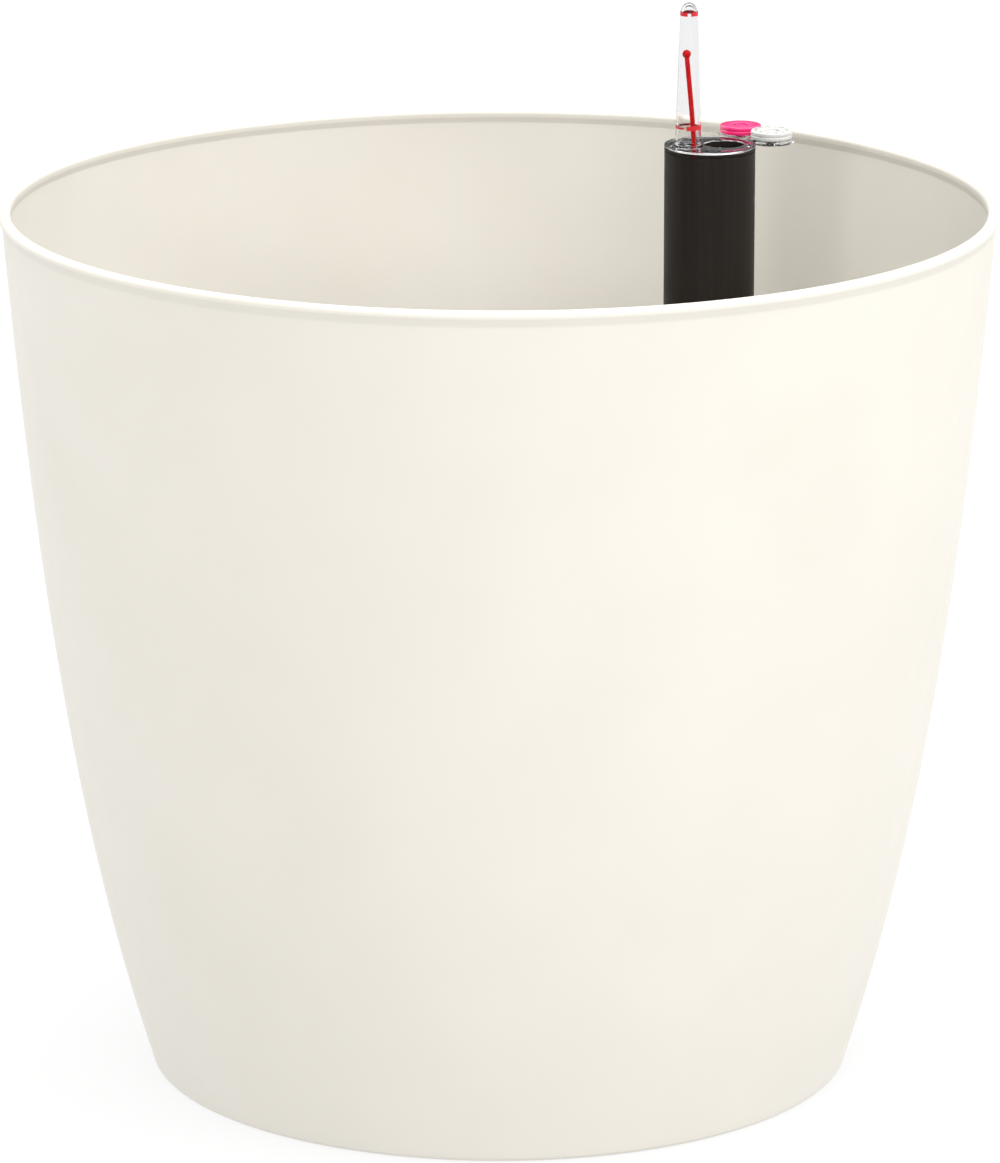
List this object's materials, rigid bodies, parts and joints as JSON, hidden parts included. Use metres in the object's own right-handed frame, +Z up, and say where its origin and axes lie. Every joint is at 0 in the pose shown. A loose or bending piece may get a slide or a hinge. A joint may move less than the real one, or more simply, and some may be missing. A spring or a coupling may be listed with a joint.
{
  "type": "self-watering planter",
  "caption": "Round tapered self-watering planter with an off-white pot, a false floor over a water reservoir, and a black filling tube carrying a float gauge and two reminder dials.",
  "frame": {"origin": "on the ground at the centre of the pot's base", "axes": "+Z up along the pot's axis; -Y towards the picture's camera; +X to its right, on the filling tube's side"},
  "size_m": [0.4, 0.4, 0.4285],
  "materials": {
    "pot_plastic": "satin off-white injection-moulded plastic",
    "insert_plastic": "matt anthracite plastic",
    "tube_plastic": "satin black extruded plastic",
    "clear_plastic": "clear glossy plastic",
    "gauge_red": "glossy red plastic",
    "float_foam": "white closed-cell foam",
    "dial_pink": "glossy bright pink plastic",
    "dial_white": "glossy white plastic",
    "seal_rubber": "black rubber"
  },
  "bodies": {
    "pot": {"pot": "pot_plastic"},
    "drain_plug": {"drain_plug": "insert_plastic", "drain_plug_seal": "seal_rubber"},
    "insert": {"separator_plate": "insert_plastic", "tube_socket": "insert_plastic", "soil_well_1": "insert_plastic", "soil_well_2": "insert_plastic", "soil_well_3": "insert_plastic", "support_leg_1": "insert_plastic", "support_leg_2": "insert_plastic", "support_leg_3": "insert_plastic", "support_leg_4": "insert_plastic", "support_leg_center": "insert_plastic"},
    "tube": {"fill_tube": "tube_plastic", "tube_foot": "insert_plastic"},
    "gauge": {"gauge_head": "clear_plastic", "sight_glass": "clear_plastic", "fertiliser_dial_pin": "dial_pink", "repotting_dial_pin": "dial_white"},
    "float_rod": {"indicator_rod": "gauge_red", "float": "float_foam", "float_washer": "insert_plastic"},
    "fertiliser_dial": {"fertiliser_dial": "dial_pink"},
    "repotting_dial": {"repotting_dial": "dial_white"}
  },
  "joints": [
    {"name": "drain_plug_pull", "type": "slide", "parent": "pot", "child": "drain_plug", "axis": [0, 0, 1], "range_m": [0, 0.045]},
    {"name": "insert_lift", "type": "slide", "parent": "pot", "child": "insert", "axis": [0, 0, 1], "range_m": [0, 0.35]},
    {"name": "tube_lift", "type": "slide", "parent": "insert", "child": "tube", "axis": [0, 0, 1], "range_m": [0, 0.09]},
    {"name": "gauge_lift", "type": "slide", "parent": "tube", "child": "gauge", "axis": [0, 0, 1], "range_m": [0, 0.045]},
    {"name": "float_slide", "type": "slide", "parent": "tube", "child": "float_rod", "axis": [0, 0, 1], "range_m": [-0.0299, 0.015]},
    {"name": "fertiliser_dial_turn", "type": "hinge", "parent": "gauge", "child": "fertiliser_dial", "pos_m": [0.09899, 0.07302, 0.3739], "axis": [0, 0, 1], "continuous": true},
    {"name": "repotting_dial_turn", "type": "hinge", "parent": "gauge", "child": "repotting_dial", "pos_m": [0.11116, 0.06073, 0.3739], "axis": [0, 0, 1], "continuous": true}
  ]
}
